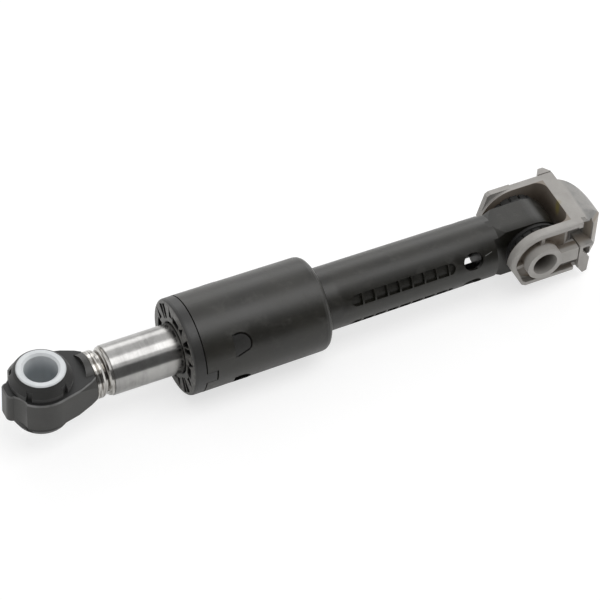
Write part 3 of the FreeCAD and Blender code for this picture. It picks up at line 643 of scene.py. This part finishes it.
def drawnSteel():
    # drawn tube: fine rings left by polishing, cloudy wear where the linings run, dull film on the
    # collar and towards the cap
    look = rodLook
    finish = Finish("rodSteel", {"Metallic": 1.0, "Specular IOR Level": 0.5, "Anisotropic": 0.45})
    x = finish.axes()[0]
    rings = finish.grained(look["rings"], 4.0, 0.7)
    bands = finish.grained(look["bands"], 3.0, 0.6)
    wear = finish.noise(look["wearScale"], 5.0, 0.62)
    lines = finish.grained(look["drawnLines"], 3.0, 0.6)
    ringShare, bandShare, wearShare, lineShare = look["toneShares"]
    tone = rings * ringShare + bands * bandShare
    tone = tone + wear.above(*look["wearClouds"]) * wearShare + lines * lineShare
    base = finish.blend(tone.above(*look["toneEdge"]), look["dark"], look["light"])
    blotch = finish.grained(look["blotches"], 4.0, 0.65).above(*look["blotchEdge"])
    collar = x.below(*look["collarEnd"])
    base = finish.blend(collar, base, finish.blend(blotch, look["dimming"], look["bright"]))
    base = finish.blend(x.above(*look["nearCap"]) * look["nearCapShare"], base, look["dimming"])
    finish.drive("Base Color", base)
    uneven = (wear - 0.5) * look["wearRough"] + (bands - 0.5) * look["bandRough"]
    uneven = uneven + rings * look["ringRough"] - collar * look["collarPolish"]
    finish.drive("Roughness", look["rough"] + uneven)
    relief = rings * look["ringRelief"] + lines * look["lineRelief"]
    finish.bump(relief, look["bump"], look["bumpDepth"])
    return finish


rubberLook = {
    "dark": (0.0050, 0.0050, 0.0046),
    "light": (0.0120, 0.0118, 0.0110),
    "bloom": (0.028, 0.028, 0.027),
    "bloomGrain": (0.5, 0.8),
    "bloomShare": 0.5,
    "toneClouds": (0.3, 0.7),
    "cloudScale": 140.0,
    "grainScale": 2600.0,
    "rough": 0.60,
    "roughSpread": 0.15,
    "bump": 0.3,
    "bumpDepth": 0.00012,
}


def mouldedRubber(name, shine):
    # moulded rubber: matt, with a faint grey bloom
    look = rubberLook
    finish = Finish(name, {
        "IOR": 1.5, "Specular IOR Level": 0.4, "Sheen Weight": shine, "Sheen Roughness": 0.5})
    cloud = finish.noise(look["cloudScale"], 4.0, 0.6)
    grain = finish.noise(look["grainScale"], 2.0, 0.5)
    base = finish.blend(cloud.above(*look["toneClouds"]), look["dark"], look["light"])
    bloom = grain.above(*look["bloomGrain"]) * look["bloomShare"]
    finish.drive("Base Color", finish.blend(bloom, base, look["bloom"]))
    finish.drive("Roughness", look["rough"] + (cloud - 0.5) * look["roughSpread"])
    finish.bump(grain + cloud, look["bump"], look["bumpDepth"])
    return finish


foamLook = {
    "dark": (0.10, 0.075, 0.035),
    "light": (0.30, 0.25, 0.15),
    "cellScale": 1500.0,
    "cellContrast": 1.2,
    "greaseScale": 160.0,
    "greaseEdge": (0.4, 0.7),
    "greaseShine": 0.4,
    "rough": 0.75,
    "bump": 0.6,
    "bumpDepth": 0.0003,
}


def greasedFoam():
    # open-cell foam soaked in damping grease
    look = foamLook
    finish = Finish("frictionFoam", {"IOR": 1.45, "Specular IOR Level": 0.5})
    cells = finish.add(
        "ShaderNodeTexVoronoi", {"feature": "F1"},
        {"Vector": finish.places, "Scale": look["cellScale"]}, "Distance")
    wet = finish.noise(look["greaseScale"], 3.0, 0.6)
    finish.drive("Base Color", finish.blend(cells * look["cellContrast"], look["dark"], look["light"]))
    finish.drive("Roughness", look["rough"] - wet.above(*look["greaseEdge"]) * look["greaseShine"])
    finish.bump(cells, look["bump"], look["bumpDepth"])
    return finish


def dress(node, finish):
    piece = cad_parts[node]
    piece.data.materials.clear()
    piece.data.materials.append(finish.made)


# Floor, card and world

def paper(name, color):
    return Finish(name, {"Base Color": tint(color), "Roughness": 0.9, "Specular IOR Level": 0.1})


def floorPaper():
    # what the camera sees of it glows, so that the floor is white and keeps a soft shadow
    finish = paper("floorPaper", stage["floorSeen"])
    finish.drive("Emission Color", white)
    finish.drive("Emission Strength", stage["floorGlow"])
    bare = finish.principled({
        "Base Color": tint(stage["floorColor"]), "Roughness": 1.0, "Specular IOR Level": 0.0,
        "Emission Color": white, "Emission Strength": stage["floorBounce"]})
    finish.mixed(finish.add("ShaderNodeLightPath", {}, {}, "Is Camera Ray"), bare, finish.shader)
    return finish


def stagePlane(name, corners, finish):
    bm = bmesh.new()
    bm.faces.new([bm.verts.new(corner) for corner in corners])
    mesh = bpy.data.meshes.new(name)
    bm.to_mesh(mesh)
    bm.free()
    mesh.materials.append(finish.made)
    plane = bpy.data.objects.new(name, mesh)
    bpy.context.scene.collection.objects.link(plane)
    return plane


def makeStage():
    low = stage["floorHeight"]
    reach = stage["floorReach"]
    floor = [(-reach, -reach, low), (reach, -reach, low), (reach, reach, low), (-reach, reach, low)]
    stagePlane("floor", floor, floorPaper())
    # dark card on the near side, out of the camera's sight, that gives black parts their dark flank
    x = light["middle"][0]
    half = stage["cardWidth"] / 2
    y = -stage["cardDistance"]
    top = stage["cardHeight"]
    card = [(x - half, y, low), (x + half, y, low), (x + half, y, top), (x - half, y, top)]
    stagePlane("card", card, paper("cardPaper", stage["cardColor"])).visible_camera = False


def makeWorld():
    # even light on matt surfaces, plain white for the camera, mirrors and what shows through
    world = bpy.data.worlds.new("studio")
    bpy.context.scene.world = world
    world.use_nodes = True
    sky = Graph(world.node_tree, "ShaderNodeOutputWorld")
    seen, mirrored, through = [
        sky.add("ShaderNodeLightPath", {}, {}, kind + " Ray")
        for kind in ("Is Camera", "Is Glossy", "Is Transmission")]
    even = sky.add("ShaderNodeBackground", {}, {
        "Color": tint(light["worldColor"]), "Strength": light["worldStrength"]})
    plain = sky.add("ShaderNodeBackground", {}, {"Color": white, "Strength": 1.0})
    sky.mixed(seen.atLeast(mirrored).atLeast(through), even, plain)


placeCamera()
placeLamps()
makeStage()
makeWorld()
bpy.context.scene.view_settings.view_transform = "Standard"
print("camera, lamps and floor placed")

nylon = settle(mouldedPlastic("naturalNylon", nylonLook))
foam = greasedFoam()
bufferRubber = mouldedRubber("bufferRubber", 0.1)
finishes = {
    "rod_eye": eyePlastic(),
    "rod_eye_rubber": mouldedRubber("eyeRubber", 0.15),
    "rod_eye_sleeve": whiteBush(),
    "rod_tube": drawnSteel(),
    "rod_end_guide": nylon,
    "lining_carrier": nylon,
    "front_lining": foam,
    "rear_lining": foam,
    "front_buffer": bufferRubber,
    "rear_buffer": bufferRubber,
    "barrel": barrelPlastic(),
    "end_cap": capPlastic(),
    "barrel_eye_rubber": mouldedRubber("bushRubber", 0.1),
    "barrel_eye_sleeve": settle(mouldedPlastic("blackSleeve", sleeveLook)),
    "fork_bracket": bracketPlastic(),
}
for node, finish in finishes.items():
    dress(node, finish)
print("finishes given to", len(finishes), "nodes")
